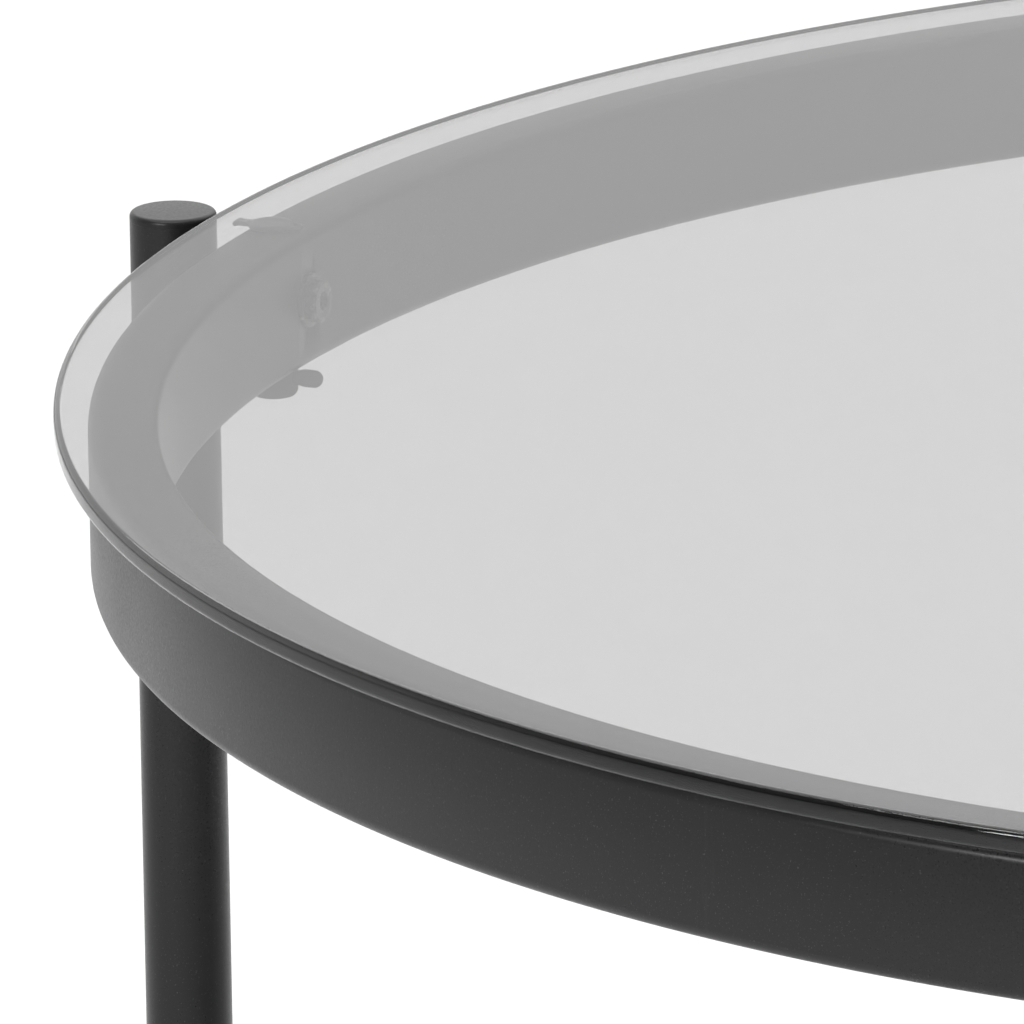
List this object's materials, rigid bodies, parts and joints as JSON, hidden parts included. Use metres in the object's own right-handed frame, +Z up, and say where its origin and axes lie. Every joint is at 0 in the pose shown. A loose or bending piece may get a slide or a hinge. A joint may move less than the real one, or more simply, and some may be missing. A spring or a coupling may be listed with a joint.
{
  "type": "nesting tables",
  "caption": "Nest of round smoked-glass tables on black steel tube rings, with slim round legs outside the glass; the lower table slides out from under the taller one.",
  "frame": {"origin": "on the floor, under the middle of the nest's overall length with the small table partly pulled out", "axes": "+X the way the small table slides out, +Z up, +Y completes the right-handed frame"},
  "size_m": [1.0204, 0.8, 0.45],
  "materials": {
    "smoked_glass": "polished, smoke grey tint, rounded edge",
    "black_powder_coat": "matt fine-textured powder coat",
    "black_nylon": "matt moulded",
    "grey_felt": "pressed felt",
    "black_steel_bolt": "black oxide",
    "bright_steel": "zinc plated",
    "clear_silicone": "translucent soft silicone",
    "black_rubber": "matt"
  },
  "bodies": {
    "large_table": {"large_glass_top": "smoked_glass", "large_ring_frame": "black_powder_coat", "large_leg_1": "black_powder_coat", "large_leg_2": "black_powder_coat", "large_leg_3": "black_powder_coat", "large_leg_end_discs": "black_powder_coat", "large_foot_glides": "black_nylon", "large_felt_discs": "grey_felt", "large_leg_bolts": "black_steel_bolt", "large_bolt_washers": "black_steel_bolt", "large_crush_sleeves": "bright_steel", "large_leg_spacers": "black_nylon", "large_leg_inserts": "bright_steel", "large_glass_pads": "clear_silicone", "large_ring_buffers": "black_rubber"},
    "small_table": {"small_glass_top": "smoked_glass", "small_ring_frame": "black_powder_coat", "small_leg_1": "black_powder_coat", "small_leg_2": "black_powder_coat", "small_leg_3": "black_powder_coat", "small_leg_end_discs": "black_powder_coat", "small_foot_glides": "black_nylon", "small_felt_discs": "grey_felt", "small_leg_bolts": "black_steel_bolt", "small_bolt_washers": "black_steel_bolt", "small_crush_sleeves": "bright_steel", "small_leg_spacers": "black_nylon", "small_leg_inserts": "bright_steel", "small_glass_pads": "clear_silicone", "small_ring_buffers": "black_rubber"}
  },
  "joints": [
    {"name": "small_table_slide", "type": "slide", "parent": "large_table", "child": "small_table", "axis": [1, 0, 0], "range_m": [-0.3, 0.45]}
  ]
}
